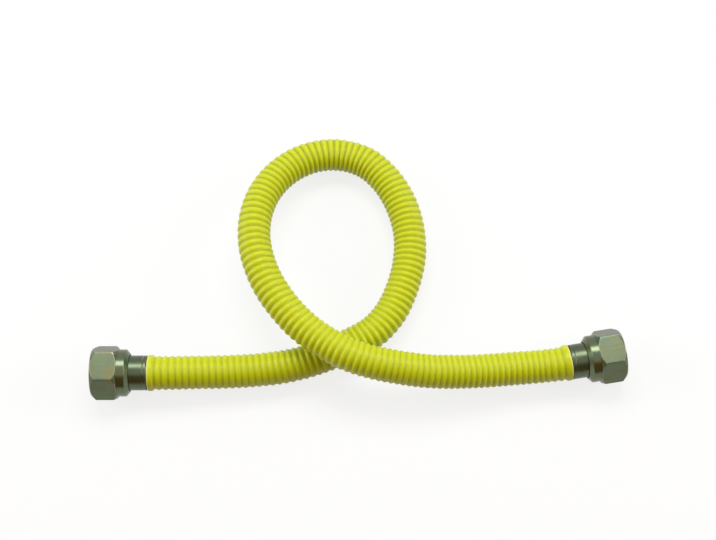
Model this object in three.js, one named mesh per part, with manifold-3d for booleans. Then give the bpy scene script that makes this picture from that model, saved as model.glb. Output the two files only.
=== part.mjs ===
// Flexible gas hose, half-inch size, with a union nut at each end
// Millimetres, +Z up. The hose lies on a floor at z = 0 in one loose loop that passes over itself.
// The origin is on that floor, midway between the two fittings. The left nut faces -X.
//
// Inside out: a corrugated steel hose carries the gas, and a flanged tail closes each of its ends.
// A ferrule covers each joint of hose and tail, a ribbed yellow sheath covers the hose between
// them, and each loose nut pulls its tail's flange onto the next fitting, with a flat seal between.

import * as THREE from 'three';
import { mergeVertices } from 'three/addons/utils/BufferGeometryUtils.js';
import Module from 'manifold-3d';

const wasm = await Module();
wasm.setup();

// Clearances
const FACE_GAP = 0.3; // between pieces that meet face to face along the axis
const RUNNING_GAP = 0.3; // all round the tail's neck and flange, where the nut turns
const COVER_GAP = 0.5; // all round the steel hose, under its sheath and ferrules
const MOUTH_GAP = 0.4; // all round the ferrule, where it enters the nut

// Hose
const SHEATH_OUTER_RADIUS = 8.4; // over the crests of the ribs
const SHEATH_WALL = 1.0;
const STEEL_WALL = 0.9; // depth of the corrugations
const HOSE_SIDES = 12;
const SHEATH_STEPS = 76;
const STEEL_STEPS = 64;
const steelOuterRadius = SHEATH_OUTER_RADIUS - SHEATH_WALL - COVER_GAP;

// Union nut for a G 1/2 pipe thread
const THREAD_MAJOR_RADIUS = 10.48;
const THREAD_MINOR_RADIUS = 9.32;
const NUT_ACROSS_FLATS = 24;
const NUT_HEX_LENGTH = 12.8;
const NUT_FRONT_FACE_RADIUS = 11.1;
const NUT_REAR_SHOULDER_RADIUS = 12.3;
const NUT_REAR_CHAMFER_ANGLE = 43; // degrees from the axis
const NUT_FRONT_CHAMFER_ANGLE = 42; // degrees from the axis
const NUT_COLLAR_RADIUS = 11.6;
const NUT_COLLAR_LENGTH = 5.8;
const NUT_COLLAR_CHAMFER = 1.8; // along the axis
const NUT_RIM_WALL = 0.5; // width of the flat rim round the rear mouth
const NUT_WEB = 2.2; // the inner shoulder that bears on the flange
const NUT_TRAVEL = 3.0; // how far the loose nut slides along its tail
const RIGHT_NUT_SLID = 0.9; // how far the right nut has slid back from its flange
const MOUTH_LEAD = 0.15; // the thread's lead-in is this much wider than the thread
const CUT_ALLOWANCE = 0.5; // how far the turned envelope stands clear of the hexagon's corners
const nutCornerRadius = NUT_ACROSS_FLATS / Math.sqrt(3);
const nutLength = NUT_HEX_LENGTH + NUT_COLLAR_LENGTH;

// Flanged tail, seal washer and ferrule
const TAIL_NECK_WALL = 1.6;
const FLANGE_THICKNESS = 2.0;
const WASHER_THICKNESS = 2.0;
const WASHER_HOLE_RADIUS = 5.8;
const FERRULE_LENGTH = 9.6;
const FERRULE_WALL = 1.2;
const FERRULE_EDGE = 0.35; // small bevel at both ends
const FERRULE_SHOWING = 8.4; // from the sheath to the nut when the nut is drawn fully forward
const STEEL_END = 4.2; // how far the steel hose reaches past its sheath
const ROUND_SIDES = 36;

const ferruleBoreRadius = steelOuterRadius + COVER_GAP;
const neckRadius = ferruleBoreRadius - RUNNING_GAP;
const tailBoreRadius = neckRadius - TAIL_NECK_WALL;
const ferruleRadius = ferruleBoreRadius + FERRULE_WALL;
const flangeRadius = THREAD_MINOR_RADIUS - RUNNING_GAP;

// Depths inside the nut, from its rear face
const mouthDepth = FERRULE_LENGTH - FERRULE_SHOWING + NUT_TRAVEL + FACE_GAP;
const shoulderDepth = mouthDepth + NUT_WEB;

// Route of the hose's centre line over the floor, from the left fitting to the right one
const ROUTE = [
  [-104.2, -5, 12], [-96, -5, 11.9], [-81, -4.4, 10.8], [-65, -3.6, 9.3], [-50, -2.5, 8.7],
  [-35, -0.4, 8.6], [-20, 3.9, 8.6], [-6, 10, 8.6], [7, 17.5, 8.6], [15.7, 27.5, 8.6],
  [21.1, 39, 8.6], [24.6, 51, 8.6], [25.9, 63.5, 8.6], [24.5, 76.5, 8.6], [20.2, 89.3, 8.6],
  [13, 101, 8.6], [3.2, 109.8, 8.6], [-9, 113.8, 8.8], [-21.6, 113, 9.7], [-33.2, 107.8, 11.3],
  [-42.7, 99, 13.6], [-49.3, 87.8, 16.2], [-52.7, 75, 18.8], [-52.8, 61.4, 21.2],
  [-50, 48.8, 23.2], [-44.9, 36.8, 24.6], [-37.9, 26, 25.5], [-29, 15.9, 25.8],
  [-18.3, 7.5, 25.8], [-6.5, 0.9, 25.7], [6.5, -3.2, 24.5], [20, -5.3, 22.2], [34, -6.2, 19.2],
  [48, -5.6, 16.1], [62, -4.3, 13.4], [76, -2.7, 11.7], [88, -1.6, 11.3], [97.5, -0.7, 11.9],
  [103.9, 0.4, 12],
].map(([x, y, z]) => new THREE.Vector3(x, y, z));

// Where each fitting leaves the hose: direction of its axis in degrees from +X, and how far its
// loose nut has slid back from the flange
const FITTINGS = [
  { side: 'left', end: ROUTE[0], heading: 180, slid: 0 },
  { side: 'right', end: ROUTE[ROUTE.length - 1], heading: 9.5, slid: RIGHT_NUT_SLID },
];

// Materials
const finish = (color, roughness, metalness) =>
  new THREE.MeshStandardMaterial({ color, roughness, metalness });
const yellowPlastic = () => finish(0xc3cc2a, 0.45, 0);
const platedSteel = () => finish(0x9aa08a, 0.35, 0.9);
const bareSteel = () => finish(0xb4b6b4, 0.3, 1);
const sealFibre = () => finish(0x3c3f3a, 0.85, 0);

// A closed profile of [radius, distance along the axis] turned about the local X axis
function turned(profile) {
  const points = [...profile, profile[0]].map(([radius, along]) => new THREE.Vector2(radius, along));
  return new THREE.LatheGeometry(points, ROUND_SIDES).rotateZ(-Math.PI / 2);
}

// A hexagonal bar along the local X axis, with a flat on top
function hexBar(acrossFlats, from, to) {
  const corner = acrossFlats / Math.sqrt(3);
  const outline = new THREE.Shape();
  for (let i = 0; i < 6; i += 1) {
    const angle = Math.PI / 6 + (i * Math.PI) / 3;
    const x = corner * Math.cos(angle);
    const y = corner * Math.sin(angle);
    if (i === 0) outline.moveTo(x, y);
    else outline.lineTo(x, y);
  }
  const bar = new THREE.ExtrudeGeometry(outline, { depth: to - from, bevelEnabled: false });
  return bar.rotateY(Math.PI / 2).translate(from, 0, 0);
}

// Joining and cutting of closed shapes
const MERGE_DISTANCE = 1e-4;

function toSolid(geometry) {
  const bare = geometry.clone();
  bare.deleteAttribute('normal');
  bare.deleteAttribute('uv');
  const merged = mergeVertices(bare, MERGE_DISTANCE);
  return new wasm.Manifold(new wasm.Mesh({
    numProp: 3,
    vertProperties: new Float32Array(merged.attributes.position.array),
    triVerts: new Uint32Array(merged.index.array),
  }));
}

function toGeometry(solid) {
  const mesh = solid.getMesh();
  const geometry = new THREE.BufferGeometry();
  geometry.setAttribute('position', new THREE.BufferAttribute(mesh.vertProperties, 3));
  geometry.setIndex(new THREE.BufferAttribute(mesh.triVerts, 1));
  geometry.computeVertexNormals();
  return geometry;
}

// Union nut from its rear rim at 0 to its front face, on the local X axis
function unionNut() {
  const clearOfCorners = nutCornerRadius + CUT_ALLOWANCE;
  const slope = (angle) => 1 / Math.tan(THREE.MathUtils.degToRad(angle));
  const rearChamfer = (clearOfCorners - NUT_REAR_SHOULDER_RADIUS) * slope(NUT_REAR_CHAMFER_ANGLE);
  const frontChamfer = (clearOfCorners - NUT_FRONT_FACE_RADIUS) * slope(NUT_FRONT_CHAMFER_ANGLE);
  const mouthRadius = ferruleRadius + MOUTH_GAP;
  const webRadius = neckRadius + RUNNING_GAP;
  const leadRadius = THREAD_MAJOR_RADIUS + MOUTH_LEAD;
  const leadLength = leadRadius - THREAD_MINOR_RADIUS;
  const envelope = turned([
    [mouthRadius + NUT_RIM_WALL, 0],
    [NUT_COLLAR_RADIUS, NUT_COLLAR_CHAMFER],
    [NUT_COLLAR_RADIUS, NUT_COLLAR_LENGTH],
    [NUT_REAR_SHOULDER_RADIUS, NUT_COLLAR_LENGTH],
    [clearOfCorners, NUT_COLLAR_LENGTH + rearChamfer],
    [clearOfCorners, nutLength - frontChamfer],
    [NUT_FRONT_FACE_RADIUS, nutLength],
    [leadRadius, nutLength],
    [THREAD_MINOR_RADIUS, nutLength - leadLength],
    [THREAD_MINOR_RADIUS, shoulderDepth],
    [webRadius, shoulderDepth],
    [webRadius, mouthDepth],
    [mouthRadius, mouthDepth],
    [mouthRadius, 0],
  ]);
  const bar = hexBar(NUT_ACROSS_FLATS, -CUT_ALLOWANCE, nutLength + CUT_ALLOWANCE);
  return toGeometry(toSolid(envelope).intersect(toSolid(bar)));
}

// Flanged tail from its end in the ferrule to its sealing face
function hoseTail(neckStart, flangeStart) {
  const face = flangeStart + FLANGE_THICKNESS;
  return turned([
    [neckRadius, neckStart],
    [neckRadius, flangeStart],
    [flangeRadius, flangeStart],
    [flangeRadius, face],
    [tailBoreRadius, face],
    [tailBoreRadius, neckStart],
  ]);
}

function sealWasher(start) {
  const front = start + WASHER_THICKNESS;
  return turned([
    [flangeRadius, start],
    [flangeRadius, front],
    [WASHER_HOLE_RADIUS, front],
    [WASHER_HOLE_RADIUS, start],
  ]);
}

function ferrule(start) {
  const front = start + FERRULE_LENGTH;
  return turned([
    [ferruleRadius - FERRULE_EDGE, start],
    [ferruleRadius, start + FERRULE_EDGE],
    [ferruleRadius, front - FERRULE_EDGE],
    [ferruleRadius - FERRULE_EDGE, front],
    [ferruleBoreRadius, front],
    [ferruleBoreRadius, start],
  ]);
}

function named(name, geometry, material) {
  const mesh = new THREE.Mesh(geometry, material);
  mesh.name = name;
  return mesh;
}

// One end of the hose on its own local axis: 0 is the sheath's end face, +X points outwards
function fitting({ side, end, heading, slid }) {
  const nutForward = FACE_GAP + FERRULE_SHOWING;
  const flangeStart = nutForward + shoulderDepth + FACE_GAP;
  const washerStart = flangeStart + FLANGE_THICKNESS + FACE_GAP;
  const group = new THREE.Group();
  const nut = named(`${side}_union_nut`, unionNut(), platedSteel());
  nut.position.x = nutForward - slid;
  group.add(
    nut,
    named(`${side}_seal_washer`, sealWasher(washerStart), sealFibre()),
    named(`${side}_hose_tail`, hoseTail(STEEL_END + FACE_GAP, flangeStart), platedSteel()),
    named(`${side}_ferrule`, ferrule(FACE_GAP), platedSteel()),
  );
  group.position.copy(end);
  group.rotation.z = THREE.MathUtils.degToRad(heading);
  return group;
}

// The hose's whole centre line: the route, and a straight end inside each ferrule
function centreLine() {
  const inside = ({ end, heading }) => {
    const angle = THREE.MathUtils.degToRad(heading);
    return new THREE.Vector3(Math.cos(angle), Math.sin(angle), 0).multiplyScalar(STEEL_END).add(end);
  };
  const curve = new THREE.CatmullRomCurve3([inside(FITTINGS[0]), ...ROUTE, inside(FITTINGS[1])]);
  curve.arcLengthDivisions = 2000;
  return curve;
}

// Part of a curve, left out by a length at each end
class Stretch extends THREE.Curve {
  constructor(curve, leftOut) {
    super();
    this.curve = curve;
    this.start = leftOut / curve.getLength();
  }

  getPoint(t, target) {
    return this.curve.getPointAt(this.start + (1 - 2 * this.start) * t, target);
  }
}

function ring(radius, sides, reverse) {
  const points = [];
  for (let i = 0; i < sides; i += 1) {
    const angle = ((reverse ? -i : i) * 2 * Math.PI) / sides;
    points.push(new THREE.Vector2(radius * Math.cos(angle), radius * Math.sin(angle)));
  }
  return points;
}

function pipe(path, outerRadius, innerRadius, steps) {
  const section = new THREE.Shape(ring(outerRadius, HOSE_SIDES, false));
  section.holes.push(new THREE.Path(ring(innerRadius, HOSE_SIDES, true)));
  return new THREE.ExtrudeGeometry(section, { steps, extrudePath: path, bevelEnabled: false });
}

const line = centreLine();
const sheathLine = new Stretch(line, STEEL_END);
const sheathBore = SHEATH_OUTER_RADIUS - SHEATH_WALL;
const steelBore = steelOuterRadius - STEEL_WALL;

const hose = new THREE.Group();
hose.add(
  named('sheath', pipe(sheathLine, SHEATH_OUTER_RADIUS, sheathBore, SHEATH_STEPS), yellowPlastic()),
  named('steel_hose', pipe(line, steelOuterRadius, steelBore, STEEL_STEPS), bareSteel()),
  ...FITTINGS.map(fitting),
);

export default hose;
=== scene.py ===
"""Flexible gas hose: a ribbed yellow sheath over corrugated steel, and a loose nut at each end."""

import math

import bmesh
import bpy
from bpy.props import FloatProperty, FloatVectorProperty, IntProperty, PointerProperty
from mathutils import Matrix, Vector


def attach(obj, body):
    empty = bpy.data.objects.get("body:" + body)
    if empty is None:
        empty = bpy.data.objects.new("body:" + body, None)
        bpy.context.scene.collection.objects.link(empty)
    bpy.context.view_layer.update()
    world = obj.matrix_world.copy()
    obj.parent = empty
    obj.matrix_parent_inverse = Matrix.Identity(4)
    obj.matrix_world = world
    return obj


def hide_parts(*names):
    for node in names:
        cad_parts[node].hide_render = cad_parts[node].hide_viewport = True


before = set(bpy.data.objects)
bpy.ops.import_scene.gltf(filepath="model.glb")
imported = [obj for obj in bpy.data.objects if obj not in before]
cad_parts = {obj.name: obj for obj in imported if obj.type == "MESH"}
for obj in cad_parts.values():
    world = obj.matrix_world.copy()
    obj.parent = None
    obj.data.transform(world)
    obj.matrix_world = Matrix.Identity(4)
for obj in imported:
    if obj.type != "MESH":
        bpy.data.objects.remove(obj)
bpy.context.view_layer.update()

bl_info = {
    "name": "Flexible gas hose",
    "version": (1, 0, 0),
    "blender": (4, 5, 0),
    "location": "View3D > Sidebar > Gas hose",
    "description": "Ribbed sheath, plated union fittings and finishes for the packed gas hose",
    "category": "Add Mesh",
}

MM = 0.001

# Route of the hose's centre line over the floor, from the left fitting to the right one, in metres
ROUTE = [
    Vector(point) * MM
    for point in (
        (-104.2, -5, 12), (-96, -5, 11.9), (-81, -4.4, 10.8), (-65, -3.6, 9.3), (-50, -2.5, 8.7),
        (-35, -0.4, 8.6), (-20, 3.9, 8.6), (-6, 10, 8.6), (7, 17.5, 8.6), (15.7, 27.5, 8.6),
        (21.1, 39, 8.6), (24.6, 51, 8.6), (25.9, 63.5, 8.6), (24.5, 76.5, 8.6), (20.2, 89.3, 8.6),
        (13, 101, 8.6), (3.2, 109.8, 8.6), (-9, 113.8, 8.8), (-21.6, 113, 9.7),
        (-33.2, 107.8, 11.3), (-42.7, 99, 13.6), (-49.3, 87.8, 16.2), (-52.7, 75, 18.8),
        (-52.8, 61.4, 21.2), (-50, 48.8, 23.2), (-44.9, 36.8, 24.6), (-37.9, 26, 25.5),
        (-29, 15.9, 25.8), (-18.3, 7.5, 25.8), (-6.5, 0.9, 25.7), (6.5, -3.2, 24.5),
        (20, -5.3, 22.2), (34, -6.2, 19.2), (48, -5.6, 16.1), (62, -4.3, 13.4), (76, -2.7, 11.7),
        (88, -1.6, 11.3), (97.5, -0.7, 11.9), (103.9, 0.4, 12),
    )
]
ROUTE_STEPS = 14  # in each span between two points

# Spacing of the ribs along the hose: share of its length, and spacing set against the mean
RIB_SPACING = (
    (0.0, 1.01), (0.12, 1.0), (0.2, 0.95), (0.36, 0.985), (0.45, 0.945), (0.5, 1.02),
    (0.55, 1.0), (0.6, 1.15), (0.65, 1.13), (0.8, 0.92), (0.86, 0.905), (1.0, 0.95),
)

# How much the bend deepens the painted shade in the valleys, where it opens the ribs: share of the
# hose's length, and 0 for none to 1 for the most
BEND_SHADE_TABLE = (
    (0.0, 0.0), (0.2, 0.0), (0.34, 0.8), (0.48, 1.0), (0.62, 1.0), (0.68, 0.7), (0.75, 0.0),
    (1.0, 0.0),
)
EVEN = ((0.0, 1.0), (1.0, 1.0))  # ribs evenly spaced all along
# No deeper painted shade in the valleys anywhere along the hose
NO_BEND_SHADE = ((0.0, 0.0), (1.0, 0.0))  # ribs that no bend opens

# Where the smooth lip of a corrugated tube fades into its ribs, before and after the lip's length
FADE_BEFORE = 0.0004
FADE_AFTER = 0.0012
STEEL_LIP = 0.0016  # smooth length at each end of the steel hose
FLAT_FACINGS = range(30, 390, 60)  # degrees round the axis that a nut's six flats face
FLAT_WITHIN = 0.04 * MM  # a point this near to a flat counts as lying on it
RIDGE_POINTS = 15  # round the section of the thread's ridge
MERGE_WITHIN = 5e-6  # joins the seams of the meshes that the node trees make

# Each fitting: its end of the route, its heading in degrees from +X, and how many millimetres its
# nut has slid back
FITTINGS = {
    "left": (ROUTE[0], 180.0, 0.0),
    "right": (ROUTE[-1], 9.5, 0.9),
}


def size(name, millimetres, description):
    """A length that a user may change, kept in metres."""
    return FloatProperty(
        name=name,
        description=description,
        default=millimetres * MM,
        min=0.0,
        unit="LENGTH",
        precision=5,
    )


def count(name, number, description):
    """A whole number that a user may change."""
    return IntProperty(name=name, description=description, default=number, min=1)


def colour(name, value, description):
    """A colour that a user may change."""
    return FloatVectorProperty(
        name=name,
        description=description,
        default=value,
        size=3,
        min=0.0,
        max=1.0,
        subtype="COLOR",
    )


def share(name, value, description):
    """A share or a strength that a user may change."""
    return FloatProperty(
        name=name, description=description, default=value, min=0.0, subtype="FACTOR"
    )


def setting(name, value, description, **kind):
    """A number of the stage that a user may change, with its unit or subtype."""
    return FloatProperty(name=name, description=description, default=value, **kind)


class HoseSizes(bpy.types.PropertyGroup):
    """Sizes of the sheath and of the steel hose inside it"""

    sheath_radius: size("Sheath radius", 8.4, "Over the crests of the ribs")
    sheath_bore: size("Sheath bore", 7.4, "Radius of the smooth inside of the sheath")
    rib_count: count("Ribs", 156, "Ribs between the two smooth lips")
    rib_depth: size("Rib depth", 0.6, "From the crests down to the valleys")
    rib_valley: share("Valley sharpness", 1.15, "Higher is a narrower valley between wider crests")
    lip_radius: size("Lip radius", 8.9, "Smooth lip at each end of the sheath")
    lip_length: size("Lip length", 2.6, "From the cut end to the first valley")
    steel_radius: size("Steel hose radius", 6.9, "Over its corrugations")
    steel_bore: size("Steel hose bore", 6.0, "Clear radius inside its corrugations")
    steel_rib_count: count("Corrugations", 230, "Annular corrugations of the steel hose")
    steel_end: size("Steel hose end", 4.2, "How far it reaches past the sheath at each end")


class NutSizes(bpy.types.PropertyGroup):
    """Sizes of the union nuts"""

    across_flats: size("Across flats", 24.0, "Width of the hexagon over its flats")
    hex_length: size("Hexagon length", 12.8, "Along the axis")
    collar_radius: size("Collar radius", 11.6, "Round part behind the hexagon")
    collar_length: size("Collar length", 5.8, "Along the axis")
    collar_chamfer: size("Collar chamfer", 1.8, "Along the axis, at the rear rim")
    rim_radius: size("Rim radius", 9.5, "Outer edge of the flat rear rim")
    mouth_radius: size("Mouth radius", 9.0, "Rear mouth that passes over the ferrule")
    mouth_depth: size("Mouth depth", 4.5, "From the rear rim to the inner shoulder")
    web_radius: size("Shoulder hole radius", 7.4, "Hole that runs on the tail's neck")
    web_depth: size("Shoulder depth", 6.7, "From the rear rim to the face that bears on the flange")
    shoulder_radius: size("Rear shoulder radius", 12.3, "Where the rear chamfer starts")
    front_radius: size("Front face radius", 11.6, "Where the front chamfer ends")
    thread_major: size("Thread major radius", 10.48, "Root of the G 1/2 inside thread")
    thread_minor: size("Thread minor radius", 9.32, "Crest of the G 1/2 inside thread")
    thread_pitch: size("Thread pitch", 1.814, "14 turns to the inch")


class TailSizes(bpy.types.PropertyGroup):
    """Sizes of the tails, ferrules and washers, from the end face of the sheath outwards"""

    bore_radius: size("Bore radius", 5.5, "Gas way through the tail")
    neck_radius: size("Neck radius", 7.1, "Outside of the tail's neck")
    flange_radius: size("Flange radius", 9.02, "Flange and washer inside the nut's thread")
    neck_start: size("Neck start", 4.5, "Where the tail meets the steel hose")
    flange_start: size("Flange start", 15.7, "Back of the flange")
    face_start: size("Sealing face", 17.7, "Front of the flange")
    washer_start: size("Washer start", 18.0, "Back of the washer")
    washer_end: size("Washer end", 20.0, "Front of the washer")
    washer_hole: size("Washer hole radius", 5.8, "Hole of the sealing washer")
    ferrule_start: size("Ferrule start", 0.3, "Gap to the sheath's end face")
    ferrule_end: size("Ferrule end", 9.9, "Front of the ferrule")
    ferrule_radius: size("Ferrule radius", 8.6, "Outside of the ferrule")
    ferrule_bore: size("Ferrule bore", 7.4, "Inside of the ferrule")
    nut_start: size("Nut start", 8.7, "Rear rim of a nut that is drawn fully forward")


class Finishes(bpy.types.PropertyGroup):
    """Colours of the finishes"""

    crest: colour("Sheath", (0.61, 0.68, 0.008), "Yellow plastic on the crests")
    # The valley colour is painted shade between the ribs
    valley: colour("Sheath valleys", (0.51, 0.55, 0.004), "Yellow plastic deep between the ribs")
    # Partly paler cut plastic and partly a painted highlight along the rim
    cut: colour("Sheath cut ends", (0.92, 0.93, 0.38), "Paler plastic where the sheath was cut")
    plating: colour("Plating", (0.12, 0.15, 0.088), "Greenish zinc plating")
    plating_warm: colour("Plating, warm", (0.15, 0.128, 0.05), "Yellower cast of the plating")
    plating_cool: colour("Plating, cool", (0.085, 0.135, 0.105), "Bluer film of the passivation")
    # Rubbed edges, which are also brightened as a painted highlight on the edges
    plating_worn_and_highlight: colour("Plating, rubbed", (0.46, 0.46, 0.38), "Bright steel on the rubbed edges")
    steel: colour("Stainless steel", (0.6, 0.6, 0.58), "Corrugated steel hose")
    fibre: colour("Sealing fibre", (0.07, 0.075, 0.068), "Flat dark washer")


class StageSettings(bpy.types.PropertyGroup):
    """Floor, lamps and camera"""

    floor_width: setting("Floor", 6.0, "Side of the floor", unit="LENGTH")
    key_power: setting("Key lamp", 7.4, "Overhead lamp", unit="POWER")
    side_power: setting("Side lamps", 3.3, "Each side lamp", unit="POWER")
    ambient: share("Ambient", 0.28, "Plain light from all round")
    distance: setting("Camera distance", 0.75, "To its aim", unit="LENGTH")
    elevation: setting(
        "Camera elevation", math.radians(70), "Above the floor", subtype="ANGLE"
    )
    lens: setting("Lens", 74.6, "Focal length in mm on a 36 mm frame")


class Value:
    """One socket of a node tree; arithmetic on it adds Math nodes to that tree."""

    def __init__(self, tree, socket, node):
        self.tree, self.socket, self.node = tree, socket, node

    def out(self, name):
        """Another output of the same node."""
        found = next(s for s in self.node.outputs if s.enabled and s.name == name)
        return Value(self.tree, found, self.node)

    def __add__(self, other):
        return self.tree.maths("ADD", self, other)

    __radd__ = __add__

    def __mul__(self, other):
        return self.tree.maths("MULTIPLY", self, other)

    def __sub__(self, other):
        return self.tree.maths("SUBTRACT", self, other)

    def __rsub__(self, other):
        return self.tree.maths("SUBTRACT", other, self)

    def __truediv__(self, other):
        return self.tree.maths("DIVIDE", self, other)

    def __pow__(self, other):
        return self.tree.maths("POWER", self, other)


class Tree:
    """Adds nodes, with their settings and their inputs, to one node tree."""

    def __init__(self, tree):
        self.tree = tree

    def add(self, kind, settings=None, inputs=None):
        """Adds a node; its first output is the value."""
        node = self.tree.nodes.new(kind)
        for name, value in (settings or {}).items():
            setattr(node, name, value)
        for name, value in (inputs or {}).items():
            if isinstance(name, int):
                socket = node.inputs[name]
            else:
                socket = next(s for s in node.inputs if s.enabled and s.name == name)
            if isinstance(value, Value):
                self.tree.links.new(value.socket, socket)
            else:
                socket.default_value = value
        first = next((s for s in node.outputs if s.enabled), None)
        return Value(self, first, node)

    def maths(self, operation, *values):
        return self.add("ShaderNodeMath", {"operation": operation}, dict(enumerate(values)))

    def vector_maths(self, operation, *values):
        return self.add("ShaderNodeVectorMath", {"operation": operation}, dict(enumerate(values)))

    def scaled(self, vector, factor):
        settings = {"operation": "SCALE"}
        return self.add("ShaderNodeVectorMath", settings, {"Vector": vector, "Scale": factor})

    def unit_grid(self, many_along, many_across):
        """A grid of points, and each point's shares, from 0 to 1, along and across it."""
        inputs = {"Size X": 1.0, "Size Y": 1.0, "Vertices X": many_along, "Vertices Y": many_across}
        grid = self.add("GeometryNodeMeshGrid", {}, inputs)
        spot = self.add("GeometryNodeInputPosition")
        place = self.add("ShaderNodeSeparateXYZ", {}, {"Vector": spot})
        return grid, place.out("X") + 0.5, place.out("Y") + 0.5

    def ramp(self, value, low, high, smooth=True):
        """0 below low, 1 above high."""
        kind = {"interpolation_type": "SMOOTHSTEP" if smooth else "LINEAR"}
        inputs = {"Value": value, "From Min": low, "From Max": high}
        return self.add("ShaderNodeMapRange", kind, inputs)

    def mix(self, factor, first, second):
        """Blend of two colours."""
        first, second = (c if isinstance(c, Value) else (*c, 1.0) for c in (first, second))
        inputs = {"Factor": factor, "A": first, "B": second}
        return self.add("ShaderNodeMix", {"data_type": "RGBA"}, inputs)

    def noise(self, vector, scale, detail=2.0, roughness=0.5):
        inputs = {"Vector": vector, "Scale": scale, "Detail": detail, "Roughness": roughness}
        return self.add("ShaderNodeTexNoise", {}, inputs)


def smooth_path(points, steps):
    """Centripetal Catmull-Rom line through the points, with that many steps in each span."""
    spaced = [2 * points[0] - points[1], *points, 2 * points[-1] - points[-2]]
    line = []
    for a, b, c, d in zip(spaced, spaced[1:], spaced[2:], spaced[3:]):
        ab, bc, cd = ((q - p).length ** 0.5 for p, q in ((a, b), (b, c), (c, d)))
        leave = ((b - a) / ab - (c - a) / (ab + bc) + (c - b) / bc) * bc
        arrive = ((c - b) / bc - (d - b) / (bc + cd) + (d - c) / cd) * bc
        square = 3 * (c - b) - 2 * leave - arrive
        cube = 2 * (b - c) + leave + arrive
        for step in range(steps):
            w = step / steps
            line.append(b + leave * w + square * w * w + cube * w**3)
    return [*line, points[-1]]


def distances(line):
    """Distance of each point along the line."""
    reached = [0.0]
    for a, b in zip(line, line[1:]):
        reached.append(reached[-1] + (b - a).length)
    return reached


def trimmed(line, left_out):
    """The line without a length at each of its ends."""
    reached = distances(line)
    low, high = left_out, reached[-1] - left_out

    def at(distance):
        i = max(k for k, d in enumerate(reached[:-1]) if d <= distance)
        return line[i].lerp(line[i + 1], (distance - reached[i]) / (reached[i + 1] - reached[i]))

    room = 1e-5  # so that no two points fall together
    inside = [p for p, d in zip(line, reached) if low + room < d < high - room]
    return [at(low), *inside, at(high)]


def hose_line():
    """Centre line of the steel hose: the route, and a straight end inside each ferrule."""
    past_sheath = bpy.context.scene.hose.steel_end
    ends = []
    for end, heading, _ in FITTINGS.values():
        turn = math.radians(heading)
        ends.append(end + Vector((math.cos(turn), math.sin(turn), 0)) * past_sheath)
    return smooth_path([ends[0], *ROUTE, ends[1]], ROUTE_STEPS)


def read_off(table, place):
    """Value that a table of (share of the length, value) gives at a place."""
    for (a, low), (b, high) in zip(table, table[1:]):
        if place <= b:
            return low + (high - low) * (place - a) / (b - a)
    return table[-1][1]


def rib_phase(line, ribs, plain, spacing):
    """How many ribs have passed at each point of the line; its plain ends have none."""
    reached = distances(line)
    total = reached[-1]
    passed = [0.0]
    for a, b in zip(reached, reached[1:]):
        part = max(0.0, min(b, total - plain) - max(a, plain))
        passed.append(passed[-1] + part / read_off(spacing, (a + b) / (2 * total)))
    return [ribs * p / passed[-1] for p in passed]


def path_mesh(name, line, phase, bend_shading):
    """The line as a chain of edges that carries its rib phase and how much its bend deepens the
    painted shade in the valleys.
    """
    mesh = bpy.data.meshes.new(name)
    mesh.from_pydata(line, [(i, i + 1) for i in range(len(line) - 1)], [])
    mesh.attributes.new("rib", "FLOAT", "POINT").data.foreach_set("value", phase)
    reached = distances(line)
    bend_shade = [read_off(bend_shading, distance / reached[-1]) for distance in reached]
    mesh.attributes.new("bend_shade", "FLOAT", "POINT").data.foreach_set("value", bend_shade)
    return mesh


def geometry_group(name, sockets):
    """A Geometry Nodes tree with named inputs, and those inputs as values."""
    group = bpy.data.node_groups.new(name, "GeometryNodeTree")
    group.interface.new_socket("Geometry", in_out="OUTPUT", socket_type="NodeSocketGeometry")
    for label, kind in sockets.items():
        group.interface.new_socket(label, in_out="INPUT", socket_type="NodeSocket" + kind)
    tree = Tree(group)
    given = tree.add("NodeGroupInput")
    return tree, {label: given.out(label) for label in sockets}


def end_group(tree, geometry, material):
    """Ends a tree with plain geometry in its material."""
    solid = tree.add("GeometryNodeRealizeInstances", inputs={"Geometry": geometry})
    shown = tree.add("GeometryNodeSetMaterial", inputs={"Geometry": solid, "Material": material})
    tree.add("NodeGroupOutput", inputs={"Geometry": shown})
    return tree.tree


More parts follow.
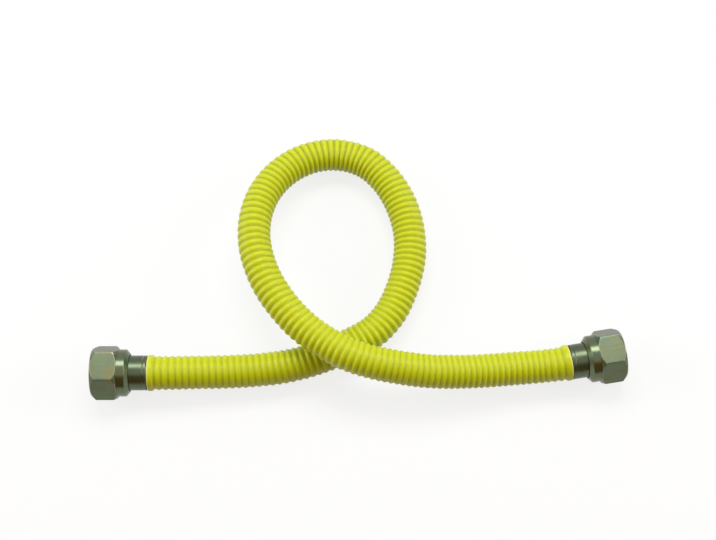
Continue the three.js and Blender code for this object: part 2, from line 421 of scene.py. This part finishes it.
def tube_group():
    """Corrugated tube with a smooth lip at each end, along the chain of edges that it is given."""
    tree, given = geometry_group(
        "Corrugated tube",
        {
            "Path": "Geometry", "Rings": "Int", "Bore rings": "Int", "Sides": "Int",
            "Crest": "Float", "Bore": "Float", "Depth": "Float", "Valley": "Float",
            "Lip": "Float", "Lip length": "Float", "Edge": "Float", "Uneven": "Float",
            "Seed": "Float", "Material": "Material",
        },
    )
    curve = tree.add("GeometryNodeMeshToCurve", inputs={"Mesh": given["Path"]})
    length = tree.add("GeometryNodeCurveLength", inputs={"Curve": curve})

    def on_path(name, along):
        """An attribute of the path at a distance along it."""
        value = tree.add("GeometryNodeInputNamedAttribute", {"data_type": "FLOAT"}, {"Name": name})
        settings = {"mode": "LENGTH", "data_type": "FLOAT"}
        inputs = {"Curves": curve, "Value": value, "Length": along}
        return tree.add("GeometryNodeSampleCurve", settings, inputs).out("Value")

    def wall(rings, shape):
        """One skin of the tube, whose radius shape works out from the share along it."""
        grid, share_along, turn = tree.unit_grid(rings, given["Sides"] + 1)
        turn = turn * math.tau
        along, radius, marks = shape(share_along)
        inputs = {"Curves": curve, "Length": along}
        centre = tree.add("GeometryNodeSampleCurve", {"mode": "LENGTH"}, inputs)
        normal = centre.out("Normal")
        across = tree.vector_maths("CROSS_PRODUCT", centre.out("Tangent"), normal)
        out = tree.vector_maths(
            "ADD",
            tree.scaled(normal, tree.maths("COSINE", turn) * radius),
            tree.scaled(across, tree.maths("SINE", turn) * radius),
        )
        marked = grid
        for name, mark in marks.items():
            marked = tree.add(
                "GeometryNodeStoreNamedAttribute",
                {"data_type": "FLOAT", "domain": "POINT"},
                {"Geometry": marked, "Name": name, "Value": mark},
            )
        place = tree.vector_maths("ADD", centre.out("Position"), out)
        return tree.add("GeometryNodeSetPosition", inputs={"Geometry": marked, "Position": place})

    def outside(share_along):
        # The first and last rings lie on the bore, so that they close the cut ends
        ring = share_along * (given["Rings"] - 1)
        along = tree.ramp(ring, 1.0, given["Rings"] - 2, smooth=False) * length
        from_end = tree.maths("MINIMUM", along, length - along)
        rib = on_path("rib", along)
        valley = (tree.maths("COSINE", rib * math.tau) * 0.5 + 0.5) ** given["Valley"]
        bend_shade = on_path("bend_shade", along)
        inputs = {"W": along * 60.0 + given["Seed"], "Scale": 1.0, "Detail": 2.0}
        wander = tree.add("ShaderNodeTexNoise", {"noise_dimensions": "1D"}, inputs)
        ribbed = given["Crest"] - given["Depth"] * valley + (wander - 0.5) * given["Uneven"]
        edge, lip_end = given["Edge"], given["Lip length"]
        rounding = tree.maths("MAXIMUM", 1 - from_end / edge, 0.0)
        rim = edge * (1 - tree.maths("SQRT", 1 - rounding * rounding))
        blend = tree.ramp(from_end, lip_end - FADE_BEFORE, lip_end + FADE_AFTER)
        radius = (given["Lip"] - rim) * (1 - blend) + ribbed * blend
        off_middle = tree.maths("ABSOLUTE", share_along - 0.5)
        last = tree.maths("GREATER_THAN", off_middle, 0.49995)
        radius = radius * (1 - last) + given["Bore"] * last
        # Mask of painted shade in the valleys between the ribs, half as deep again where the bend
        # opens them
        groove = valley * blend * (1 + bend_shade * 0.5)
        # Paler cut plastic over the rounded rim at each end, which is also a painted highlight
        # along the rim
        cut = 1 - tree.ramp(from_end, edge * 0.7, edge * 1.4)
        return along, radius, {"groove": groove, "cut_end": cut}

    def inside(share_along):
        return share_along * length, given["Bore"], {"groove": 0.0, "cut_end": 0.0}

    walls = tree.add("GeometryNodeJoinGeometry")
    for rings, shape in ((given["Rings"], outside), (given["Bore rings"], inside)):
        tree.tree.links.new(wall(rings, shape).socket, walls.node.inputs[0])
    inputs = {"Geometry": walls, "Distance": MERGE_WITHIN}
    closed = tree.add("GeometryNodeMergeByDistance", {}, inputs)
    return end_group(tree, closed, given["Material"])


def thread_group():
    """One helical thread ridge that stands inwards from a bore round the X axis."""
    tree, given = geometry_group(
        "Inside thread",
        {
            "Geometry": "Geometry", "Start": "Float", "Turns": "Float", "Pitch": "Float",
            "Root": "Float", "Depth": "Float", "Steps": "Int", "Material": "Material",
        },
    )
    grid, share_along, share_across = tree.unit_grid(given["Steps"], RIDGE_POINTS)
    turns = share_along * given["Turns"]
    around = share_across * math.tau
    left = given["Turns"] - turns
    run_out = tree.ramp(tree.maths("MINIMUM", turns, left), 0.0, 0.4)
    width = tree.maths("COSINE", around)
    # The small number rounds the crest; the lower half of the section is sunk into the bore's wall
    crest = 1 - tree.maths("SQRT", width * width + 0.015)
    buried = tree.maths("LESS_THAN", tree.maths("SINE", around), -0.01)
    height = tree.maths("MAXIMUM", crest, 0.0) * (1 - buried) * run_out - buried * 0.12
    radius = given["Root"] - height * given["Depth"]
    along = given["Start"] + given["Pitch"] * (turns + width * 0.48)
    angle = turns * math.tau
    spot = tree.add(
        "ShaderNodeCombineXYZ",
        inputs={
            "X": along,
            "Y": tree.maths("COSINE", angle) * radius,
            "Z": tree.maths("SINE", angle) * radius,
        },
    )
    ridge = tree.add("GeometryNodeSetPosition", inputs={"Geometry": grid, "Position": spot})
    inputs = {"Geometry": ridge, "Distance": MERGE_WITHIN}
    closed = tree.add("GeometryNodeMergeByDistance", {}, inputs)
    return end_group(tree, closed, given["Material"])


def grown(name, start, group, values):
    """The plain mesh that a node group makes from the starting mesh."""
    maker = bpy.data.objects.new(name, start)
    bpy.context.collection.objects.link(maker)
    modifier = maker.modifiers.new(name, "NODES")
    modifier.node_group = group
    for item in group.interface.items_tree:
        if item.in_out == "INPUT" and item.name in values:
            modifier[item.identifier] = values[item.name]
    evaluated = maker.evaluated_get(bpy.context.evaluated_depsgraph_get())
    shape = bpy.data.meshes.new_from_object(evaluated)
    maker.modifiers.clear()
    bpy.data.objects.remove(maker)
    return shape


def made_solid(mesh):
    """Doubles merged, normals turned outwards and faces smooth."""
    work = bmesh.new()
    work.from_mesh(mesh)
    bmesh.ops.remove_doubles(work, verts=work.verts, dist=2e-6)
    bmesh.ops.dissolve_degenerate(work, edges=work.edges, dist=1e-6)
    bmesh.ops.recalc_face_normals(work, faces=work.faces)
    work.to_mesh(mesh)
    work.free()
    mesh.shade_smooth()
    return mesh


def piece(name, mesh, slot, body, node):
    """A finished object in its slot's material, which rides on its body and replaces its node."""
    mesh.name = name
    mesh.materials.clear()
    mesh.materials.append(finish(slot))
    made = bpy.data.objects.new(name, mesh)
    bpy.context.collection.objects.link(made)
    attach(made, body)
    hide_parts(node)
    return made


def rounded(outline, radius, steps=4):
    """Outline with its corners rounded, and a row close to each rounding to keep the flats flat."""
    points = []
    for before, corner, after in zip([outline[-1], *outline], outline, [*outline[1:], outline[0]]):
        before, corner, after = Vector(before), Vector(corner), Vector(after)
        room = 0.4 * min((corner - before).length, (after - corner).length)
        cut = min(radius, room)
        back, on = (before - corner).normalized(), (after - corner).normalized()
        start, end = corner + back * cut, corner + on * cut
        points.append(corner + back * cut * 1.2)
        for k in range(steps + 1):
            w = k / steps
            points.append(start.lerp(corner, w).lerp(corner.lerp(end, w), w))
        points.append(corner + on * cut * 1.2)
    return [tuple(p) for p in points]


def skin(name, angles, outline_at):
    """Closed skin round the X axis; outline_at gives each angle's loop of (along, radius)."""
    columns = []
    for angle in angles:
        up, over = math.cos(angle), math.sin(angle)
        columns.append([(along, radius * up, radius * over) for along, radius in outline_at(angle)])
    rows, many = len(columns[0]), len(columns)
    faces = []
    for c in range(many):
        here, there = c * rows, (c + 1) % many * rows
        for r in range(rows):
            further = (r + 1) % rows
            faces.append((here + r, there + r, there + further, here + further))
    mesh = bpy.data.meshes.new(name)
    mesh.from_pydata([p for column in columns for p in column], [], faces)
    return mesh


def turned(name, outline, edge, sides=112):
    """A turned piece: one rounded outline all the way round."""
    profile = rounded(outline, edge)
    angles = [math.tau * i / sides for i in range(sides)]
    return skin(name, angles, lambda angle: profile)


def set_on_fitting(mesh, side, along, across_flats=0.0, pressed_and_shaded=0.0):
    """Keeps a piece's own coordinates, flats and pressing as attributes, with the pressing also
    marking painted shade, then puts it in place.
    """
    spots = [component for vertex in mesh.vertices for component in vertex.co]
    mesh.attributes.new("own_place", "FLOAT_VECTOR", "POINT").data.foreach_set("vector", spots)
    facings = [math.radians(degrees) for degrees in FLAT_FACINGS]
    flats = []
    for vertex in mesh.vertices:
        reach = max(vertex.co.y * math.cos(a) + vertex.co.z * math.sin(a) for a in facings)
        flats.append(float(across_flats > 0 and abs(reach - across_flats / 2) < FLAT_WITHIN))
    mesh.attributes.new("flat_face", "FLOAT", "POINT").data.foreach_set("value", flats)
    # Pressed pieces also take darker plating, as painted shade that stands in for dark reflections
    dulled_and_shaded = [pressed_and_shaded] * len(mesh.vertices)
    mesh.attributes.new("pressed_and_shaded", "FLOAT", "POINT").data.foreach_set("value", dulled_and_shaded)
    end, heading, _ = FITTINGS[side]
    turn = Matrix.Rotation(math.radians(heading), 4, "Z")
    mesh.transform(Matrix.Translation(end) @ turn @ Matrix.Translation((along, 0, 0)))
    return mesh


def soft_minimum(first, second, rounding):
    """The smaller of two radii, rounded where they cross."""
    gap = max(rounding - abs(first - second), 0.0) / rounding
    return min(first, second) - gap * gap * rounding / 4


def nut_mesh(sizes):
    """Union nut on the X axis, from its rear rim at 0 to its front face."""
    length = sizes.collar_length + sizes.hex_length
    rear_slope, front_slope = math.tan(math.radians(43)), math.tan(math.radians(42))
    edge, chamfer_edge, lead, step = 0.22 * MM, 0.16 * MM, 0.25 * MM, 0.3 * MM
    corner_power = 260  # higher gives the hexagon sharper corners
    # The turned surfaces, from the front face through the bore and back over the collar
    turned_part = rounded(
        [
            (length, sizes.front_radius),
            (length, sizes.thread_major + lead),
            (length - lead, sizes.thread_major),
            (sizes.web_depth, sizes.thread_major),
            (sizes.web_depth, sizes.web_radius),
            (sizes.mouth_depth, sizes.web_radius),
            (sizes.mouth_depth, sizes.mouth_radius),
            (0.0, sizes.mouth_radius),
            (0.0, sizes.rim_radius),
            (sizes.collar_chamfer, sizes.collar_radius),
            (sizes.collar_length, sizes.collar_radius),
            (sizes.collar_length, sizes.collar_radius + step),
        ],
        edge,
    )[5:-2]
    half = sizes.across_flats / 2
    facings = [math.radians(degrees) for degrees in FLAT_FACINGS[:3]]

    def outline_at(angle):
        pull = sum(abs(math.cos(angle - facing)) ** corner_power for facing in facings)
        flat = half / pull ** (1 / corner_power)

        def radius_at(along):
            rear = sizes.shoulder_radius + (along - sizes.collar_length) * rear_slope
            front = sizes.front_radius + (length - along) * front_slope
            return soft_minimum(soft_minimum(flat, rear, chamfer_edge), front, chamfer_edge)

        low, high = sizes.collar_length, length
        meets_rear = low + max(flat - sizes.shoulder_radius, 0.0) / rear_slope
        meets_front = high - max(flat - sizes.front_radius, 0.0) / front_slope
        # Rows crowd where a chamfer meets the flat
        places = [meets_rear + off * MM for off in (-0.45, -0.2, 0.0, 0.2, 0.45)]
        places += [meets_rear + (meets_front - meets_rear) * w for w in (0.25, 0.5, 0.75)]
        places += [meets_front + off * MM for off in (-0.45, -0.2, 0.0, 0.2, 0.45)]
        first, last = low + 0.2 * MM, high - 0.2 * MM
        places = [min(max(place, first), last) for place in (first, *places, last)]
        rows = [(low, radius_at(low) - step), (low, radius_at(low) - step / 2)]
        rows += [(low + 0.05 * MM, radius_at(low) - 0.03 * MM)]
        rows += [(place, radius_at(place)) for place in places]
        return [*rows, (high - 0.04 * MM, sizes.front_radius - 0.02 * MM), *turned_part]

    # Columns crowd towards the corners, which lie 30 degrees to each side of a flat's middle
    offsets = [30 * math.sin(math.radians(10 * k)) for k in range(-9, 9)]
    angles = [math.radians(facing + offset) for facing in FLAT_FACINGS for offset in offsets]
    return skin("union_nut", angles, outline_at)


def noise_bump(tree, height, strength, depth):
    """Shallow relief for a material's Normal socket."""
    inputs = {"Strength": strength, "Distance": depth, "Height": height}
    return tree.add("ShaderNodeBump", {}, inputs)


def new_material(name):
    """An empty material and its tree."""
    material = bpy.data.materials.new(name + "_finish")
    material.use_nodes = True
    material.node_tree.nodes.clear()
    return material, Tree(material.node_tree)


def surface(tree, inputs):
    """Ends a material with one Principled shader."""
    shader = tree.add("ShaderNodeBsdfPrincipled", {}, inputs)
    tree.add("ShaderNodeOutputMaterial", {}, {"Surface": shader})


def yellow_plastic(finishes):
    """Satin plastic, with painted shade between the ribs that deepens on the bend, and rubbed paler
    on the crests.
    """
    material, tree = new_material("yellow_plastic")
    groove = tree.add("ShaderNodeAttribute", {"attribute_name": "groove"}).out("Fac")
    spot = tree.add("ShaderNodeTexCoord").out("Object")
    cast, fine = tree.noise(spot, 45.0, 3.0), tree.noise(spot, 1600.0, 3.0)
    handled = tree.ramp(tree.noise(spot, 210.0, 4.0, 0.6), 0.52, 0.7)
    crests = tree.maths("MAXIMUM", 1 - groove, 0.0)
    # Painted shade in the valleys between the ribs
    tint = tree.mix(tree.ramp(groove, 0.3, 1.0), finishes.crest, finishes.valley)
    # Deeper painted shade in the valleys where the bend opens the ribs
    deep = [c * 0.74 for c in finishes.valley]
    tint = tree.mix(tree.ramp(groove, 0.95, 1.5), tint, deep)
    warm = [c * k for c, k in zip(finishes.crest, (0.97, 0.9, 0.7))]
    tint = tree.mix(tree.ramp(cast, 0.35, 0.75) * 0.3 * crests, tint, warm)
    pale = [min(1.0, c * k + 0.012) for c, k in zip(finishes.crest, (1.05, 1.05, 1.3))]
    tint = tree.mix(handled * crests * 0.28, tint, pale)
    # Paler cut plastic on the rim, which is also a painted highlight along it
    cut = tree.add("ShaderNodeAttribute", {"attribute_name": "cut_end"}).out("Fac")
    tint = tree.mix(cut * 0.8, tint, finishes.cut)
    roughness = 0.29 + handled * 0.1 + fine * 0.06
    bump = noise_bump(tree, fine + cast * 2, 0.18, 0.00012)
    inputs = {"Base Color": tint, "Roughness": roughness, "Specular IOR Level": 0.28}
    surface(tree, {**inputs, "Normal": bump})
    return material


def plated_steel(finishes):
    """Zinc-plated steel with turning marks, a shifting cast, rubbed edges that are also a painted
    highlight, and darker ferrules as painted shade.
    """
    material, tree = new_material("plated_steel")
    own = tree.add("ShaderNodeAttribute", {"attribute_name": "own_place"}).out("Vector")
    flat = tree.add("ShaderNodeAttribute", {"attribute_name": "flat_face"}).out("Fac")
    spot = tree.add("ShaderNodeTexCoord").out("Object")
    parts = tree.add("ShaderNodeSeparateXYZ", {}, {"Vector": own})
    across = tree.maths("SQRT", parts.out("Y") ** 2 + parts.out("Z") ** 2)
    lathe = tree.add("ShaderNodeCombineXYZ", {}, {"X": parts.out("X"), "Y": across, "Z": 0.0})
    turning = tree.noise(tree.vector_maths("MULTIPLY", lathe, (5200.0, 2600.0, 0.0)), 1.0, 2.0)
    drawn = tree.noise(tree.vector_maths("MULTIPLY", own, (90.0, 3800.0, 3800.0)), 1.0, 2.0)
    marks = turning * (1 - flat) + drawn * flat
    cast, fine = tree.noise(spot, 120.0, 3.0, 0.6), tree.noise(spot, 1400.0, 3.0)
    pressed_and_shaded = tree.add("ShaderNodeAttribute", {"attribute_name": "pressed_and_shaded"}).out("Fac")
    film = tree.noise(tree.vector_maths("ADD", spot, (0.3, 0.7, 0.2)), 95.0, 3.0, 0.6)
    tint = tree.mix(tree.ramp(cast, 0.42, 0.68) * 0.7, finishes.plating, finishes.plating_warm)
    tint = tree.mix(tree.ramp(film, 0.48, 0.7) * 0.55, tint, finishes.plating_cool)
    # Darker plating along the turning and drawing marks, and on pressed pieces as painted shade
    # that stands in for dark reflections
    dull_and_shade_tint = [c * 0.7 for c in finishes.plating]
    dulled_and_shaded = tree.maths("MAXIMUM", tree.ramp(marks, 0.45, 0.8) * 0.4, pressed_and_shaded * 0.7)
    tint = tree.mix(dulled_and_shaded, tint, dull_and_shade_tint)
    # Rubbed bright on convex edges, which is also a painted highlight
    worn_edge_and_highlight = tree.add("ShaderNodeNewGeometry").out("Pointiness")
    worn_edge_and_highlight = tree.ramp(worn_edge_and_highlight, 0.515, 0.58) * tree.ramp(cast, 0.25, 0.55)
    tint = tree.mix(worn_edge_and_highlight * 0.8, tint, finishes.plating_worn_and_highlight)
    roughness = 0.17 + cast * 0.08 + marks * 0.07 + flat * 0.05 + pressed_and_shaded * 0.06
    bump = noise_bump(tree, marks + fine * 0.5, 0.22, 0.00008)
    surface(tree, {"Base Color": tint, "Metallic": 0.92, "Roughness": roughness, "Normal": bump})
    return material


def stainless(finishes):
    """Bright corrugated stainless steel, darker in its valleys."""
    material, tree = new_material("bare_steel")
    groove = tree.add("ShaderNodeAttribute", {"attribute_name": "groove"}).out("Fac")
    spot = tree.add("ShaderNodeTexCoord").out("Object")
    fine = tree.noise(spot, 1500.0, 3.0)
    valley_tint = [c * 0.55 for c in finishes.steel]
    # Darker in the valleys between the corrugations
    tint = tree.mix(groove * 0.7, finishes.steel, valley_tint)
    bump = noise_bump(tree, fine, 0.15, 0.00005)
    inputs = {"Base Color": tint, "Metallic": 1.0, "Roughness": 0.24 + fine * 0.1, "Normal": bump}
    surface(tree, inputs)
    return material


def sealing_fibre(finishes):
    """Flat pressed fibre with short pale threads in it."""
    material, tree = new_material("seal_fibre")
    spot = tree.add("ShaderNodeTexCoord").out("Object")
    threads = tree.noise(tree.vector_maths("MULTIPLY", spot, (900.0, 3200.0, 900.0)), 1.0, 3.0, 0.7)
    grain = tree.noise(spot, 2600.0, 3.0)
    pale = [min(1.0, c * 2.6) for c in finishes.fibre]
    tint = tree.mix(tree.ramp(threads, 0.5, 0.75) * 0.7, finishes.fibre, pale)
    bump = noise_bump(tree, threads + grain, 0.5, 0.00012)
    surface(tree, {"Base Color": tint, "Roughness": 0.82 + grain * 0.12, "Normal": bump})
    return material


FINISHES = {
    "yellow_plastic": yellow_plastic,
    "plated_steel": plated_steel,
    "bare_steel": stainless,
    "seal_fibre": sealing_fibre,
}


def finish(slot):
    """The material of a slot, made the first time it is asked for."""
    made = bpy.data.materials.get(slot + "_finish")
    return made or FINISHES[slot](bpy.context.scene.hose_finishes)


def sheet(name, corners, material):
    """One flat face of the stage."""
    mesh = bpy.data.meshes.new(name)
    mesh.from_pydata(corners, [], [(0, 1, 2, 3)])
    mesh.materials.append(material)
    made = bpy.data.objects.new(name, mesh)
    bpy.context.collection.objects.link(made)
    return made


def seen_directly(tree):
    """1 where the camera sees a surface, straight, in gloss or through glass."""
    path = tree.add("ShaderNodeLightPath")
    seen = path.out("Is Camera Ray") + path.out("Is Glossy Ray") + path.out("Is Transmission Ray")
    return tree.maths("MINIMUM", seen, 1.0)


class GASHOSE_OT_camera(bpy.types.Operator):
    """Set the camera"""

    bl_idname = "gas_hose.camera"
    bl_label = "Camera"

    def execute(self, context):
        stage = context.scene.hose_stage
        lens = bpy.data.cameras.new("camera")
        lens.sensor_width, lens.lens, lens.clip_start = 36.0, stage.lens, 0.01
        camera = bpy.data.objects.new("camera", lens)
        context.collection.objects.link(camera)
        aim = Vector((-0.0007, 0.049, 0.012))  # middle of the hose as the picture frames it
        away = Vector((0, -math.cos(stage.elevation), math.sin(stage.elevation)))
        camera.location = aim + away * stage.distance
        camera.rotation_euler = (math.pi / 2 - stage.elevation, 0, 0)
        context.scene.camera = camera
        return {"FINISHED"}


class GASHOSE_OT_hose(bpy.types.Operator):
    """Make the ribbed sheath and the corrugated steel hose inside it"""

    bl_idname = "gas_hose.hose"
    bl_label = "Hose"

    def execute(self, context):
        sizes = context.scene.hose
        whole = hose_line()
        line = trimmed(whole, sizes.steel_end)
        group = tube_group()
        plain = sizes.lip_length + FADE_AFTER
        phase = rib_phase(line, sizes.rib_count, plain, RIB_SPACING)
        sheath_mesh = grown(
            "sheath_maker",
            path_mesh("sheath_path", line, phase, BEND_SHADE_TABLE),
            group,
            {
                "Rings": 1540, "Bore rings": 200, "Sides": 44, "Crest": sizes.sheath_radius,
                "Bore": sizes.sheath_bore, "Depth": sizes.rib_depth, "Valley": sizes.rib_valley,
                "Lip": sizes.lip_radius, "Lip length": sizes.lip_length, "Edge": 0.6 * MM,
                "Uneven": 0.22 * MM, "Seed": 4.0, "Material": finish("yellow_plastic"),
            },
        )
        phase = rib_phase(whole, sizes.steel_rib_count, STEEL_LIP, EVEN)
        steel_mesh = grown(
            "steel_maker",
            path_mesh("steel_path", whole, phase, NO_BEND_SHADE),
            group,
            {
                "Rings": 1610, "Bore rings": 160, "Sides": 24, "Crest": sizes.steel_radius,
                "Bore": sizes.steel_bore, "Depth": 0.7 * MM, "Valley": 1.0,
                "Lip": sizes.steel_radius - 0.2 * MM, "Lip length": STEEL_LIP, "Edge": 0.3 * MM,
                "Uneven": 0.0, "Seed": 1.0, "Material": finish("bare_steel"),
            },
        )
        made_solid(steel_mesh)
        steel = piece("corrugated_steel_hose", steel_mesh, "bare_steel", "hose", "steel_hose")
        made_solid(sheath_mesh)
        sheath = piece("ribbed_sheath", sheath_mesh, "yellow_plastic", "hose", "sheath")
        round(distances(line)[-1], 4)
        return {"FINISHED"}


class GASHOSE_OT_nuts(bpy.types.Operator):
    """Make the two union nuts with their inside threads"""

    bl_idname = "gas_hose.nuts"
    bl_label = "Union nuts"

    def execute(self, context):
        sizes, tails = context.scene.hose_nut, context.scene.hose_tail
        length = sizes.collar_length + sizes.hex_length
        group = thread_group()
        start = sizes.web_depth + 0.8 * sizes.thread_pitch
        turns = (length - 0.4 * sizes.thread_pitch - start) / sizes.thread_pitch
        # The ridge's rounded crest falls a little short of its depth, so it is given some more
        depth = 1.12 * (sizes.thread_major - sizes.thread_minor)
        for side, (_, _, slid) in FITTINGS.items():
            thread = grown(
                f"{side}_thread",
                bpy.data.meshes.new("thread_start"),
                group,
                {
                    "Start": start, "Turns": turns, "Pitch": sizes.thread_pitch,
                    "Root": sizes.thread_major, "Depth": depth, "Steps": 420,
                    "Material": finish("plated_steel"),
                },
            )
            nut = made_solid(nut_mesh(sizes))
            joined = bmesh.new()
            joined.from_mesh(nut)
            joined.from_mesh(made_solid(thread))
            joined.to_mesh(nut)
            joined.free()
            nut.shade_smooth()
            set_on_fitting(nut, side, tails.nut_start - slid * MM, sizes.across_flats)
            piece(f"{side}_nut", nut, "plated_steel", f"{side}_nut", f"{side}_union_nut")
        return {"FINISHED"}


class GASHOSE_OT_tails(bpy.types.Operator):
    """Make the flanged tails, the ferrules and the sealing washers"""

    bl_idname = "gas_hose.tails"
    bl_label = "Tails, ferrules and washers"

    def execute(self, context):
        sizes = context.scene.hose_tail
        lead = 0.5 * MM
        tail = [
            (sizes.neck_start, sizes.neck_radius), (sizes.flange_start, sizes.neck_radius),
            (sizes.flange_start, sizes.flange_radius), (sizes.face_start, sizes.flange_radius),
            (sizes.face_start, sizes.bore_radius + lead),
            (sizes.face_start - lead, sizes.bore_radius), (sizes.neck_start, sizes.bore_radius),
        ]
        # A shallow pressed groove runs round the ferrule near the sheath
        start, end, radius = sizes.ferrule_start, sizes.ferrule_end, sizes.ferrule_radius
        groove = start + 1.4 * MM
        ferrule = [
            (start, radius), (groove, radius), (groove + 0.25 * MM, radius - 0.18 * MM),
            (groove + 0.5 * MM, radius), (end, radius),
            (end, sizes.ferrule_bore), (start, sizes.ferrule_bore),
        ]
        washer = [
            (sizes.washer_start, sizes.flange_radius), (sizes.washer_end, sizes.flange_radius),
            (sizes.washer_end, sizes.washer_hole), (sizes.washer_start, sizes.washer_hole),
        ]
        shapes = (
            ("tail", "hose_tail", tail, 0.25 * MM, "plated_steel"),
            ("ferrule", "ferrule", ferrule, 0.4 * MM, "plated_steel"),
            ("washer", "seal_washer", washer, 0.2 * MM, "seal_fibre"),
        )
        for side in FITTINGS:
            for name, node, outline, edge, slot in shapes:
                mesh = made_solid(turned(name, outline, edge))
                set_on_fitting(mesh, side, 0.0, pressed_and_shaded=float(name == "ferrule"))
                piece(f"{side}_{name}_turned", mesh, slot, "hose", f"{side}_{node}")
        return {"FINISHED"}


class GASHOSE_OT_stage(bpy.types.Operator):
    """Set the pale floor, the soft lamps and the plain background"""

    bl_idname = "gas_hose.stage"
    bl_label = "Floor and lamps"

    def execute(self, context):
        stage = context.scene.hose_stage
        material, tree = new_material("pale_floor")
        shown = seen_directly(tree)
        paint = tree.mix(shown, (0.45, 0.45, 0.45), (0.97, 0.97, 0.97))
        matt = tree.add("ShaderNodeBsdfDiffuse", {}, {"Color": paint})
        glow = tree.add("ShaderNodeEmission", {}, {"Color": (1, 1, 1, 1), "Strength": 1.0})
        both = tree.add("ShaderNodeMixShader", {}, {0: shown * 0.8, 1: matt, 2: glow})
        tree.add("ShaderNodeOutputMaterial", {}, {"Surface": both})
        half = stage.floor_width / 2
        corners = [(-half, -half, 0), (half, -half, 0), (half, half, 0), (-half, half, 0)]
        floor = sheet("floor", corners, material)
        lamps = (
            ("key_lamp", (0.0, 0.58, 0.94), (0.85, 0.4), stage.key_power),
            ("left_lamp", (-0.85, 0.15, 0.4), (0.5, 0.5), stage.side_power),
            ("right_lamp", (0.85, 0.15, 0.4), (0.5, 0.5), stage.side_power),
        )
        lit = Vector((0, 0.05, 0))
        for name, place, (width, height), power in lamps:
            light = bpy.data.lights.new(name, "AREA")
            light.shape, light.size, light.size_y = "RECTANGLE", width, height
            light.energy = power
            lamp = bpy.data.objects.new(name, light)
            context.collection.objects.link(lamp)
            lamp.location = place
            lamp.rotation_euler = (lit - lamp.location).to_track_quat("-Z", "Y").to_euler()
        # A dark board in front, outside the picture, which the plating shows as its dark bands
        material, tree = new_material("dark_board")
        matt = tree.add("ShaderNodeBsdfDiffuse", {}, {"Color": (0.3, 0.19, 0.07, 1.0)})
        tree.add("ShaderNodeOutputMaterial", {}, {"Surface": matt})
        wide, near, low, high = 0.9, -0.3, 0.002, 0.5
        corners = [(-wide, near, low), (wide, near, low), (wide, near, high), (-wide, near, high)]
        board = sheet("board", corners, material)
        board.visible_camera = board.visible_shadow = False
        world = bpy.data.worlds.new("plain_light")
        world.use_nodes = True
        world.node_tree.nodes.clear()
        tree = Tree(world.node_tree)
        strength = stage.ambient + seen_directly(tree) * (1 - stage.ambient)
        light = tree.add("ShaderNodeBackground", {}, {"Color": (1, 1, 1, 1), "Strength": strength})
        tree.add("ShaderNodeOutputWorld", {}, {"Surface": light})
        context.scene.world = world
        context.scene.view_settings.view_transform = "Standard"
        return {"FINISHED"}


class GASHOSE_PT_panel(bpy.types.Panel):
    """Lists the pieces of the gas hose"""

    bl_idname = "GASHOSE_PT_panel"
    bl_label = "Gas hose"
    bl_space_type = "VIEW_3D"
    bl_region_type = "UI"
    bl_category = "Gas hose"

    def draw(self, context):
        for operator in OPERATORS:
            self.layout.operator(operator.bl_idname)
        for name in GROUPS:
            group = getattr(context.scene, name)
            for label in group.bl_rna.properties.keys():
                if label not in {"rna_type", "name"}:
                    self.layout.prop(group, label)


GROUPS = {
    "hose": HoseSizes,
    "hose_nut": NutSizes,
    "hose_tail": TailSizes,
    "hose_finishes": Finishes,
    "hose_stage": StageSettings,
}
OPERATORS = (
    GASHOSE_OT_camera, GASHOSE_OT_hose, GASHOSE_OT_nuts, GASHOSE_OT_tails, GASHOSE_OT_stage,
)


def register():
    for made in (*GROUPS.values(), *OPERATORS, GASHOSE_PT_panel):
        bpy.utils.register_class(made)
    for name, group in GROUPS.items():
        setattr(bpy.types.Scene, name, PointerProperty(type=group))


def unregister():
    for name in GROUPS:
        delattr(bpy.types.Scene, name)
    for made in reversed((*GROUPS.values(), *OPERATORS, GASHOSE_PT_panel)):
        bpy.utils.unregister_class(made)


def main():
    register()
    bpy.ops.gas_hose.camera()
    bpy.ops.gas_hose.hose()
    bpy.ops.gas_hose.nuts()
    bpy.ops.gas_hose.tails()
    bpy.ops.gas_hose.stage()


if __name__ == "__main__":
    main()
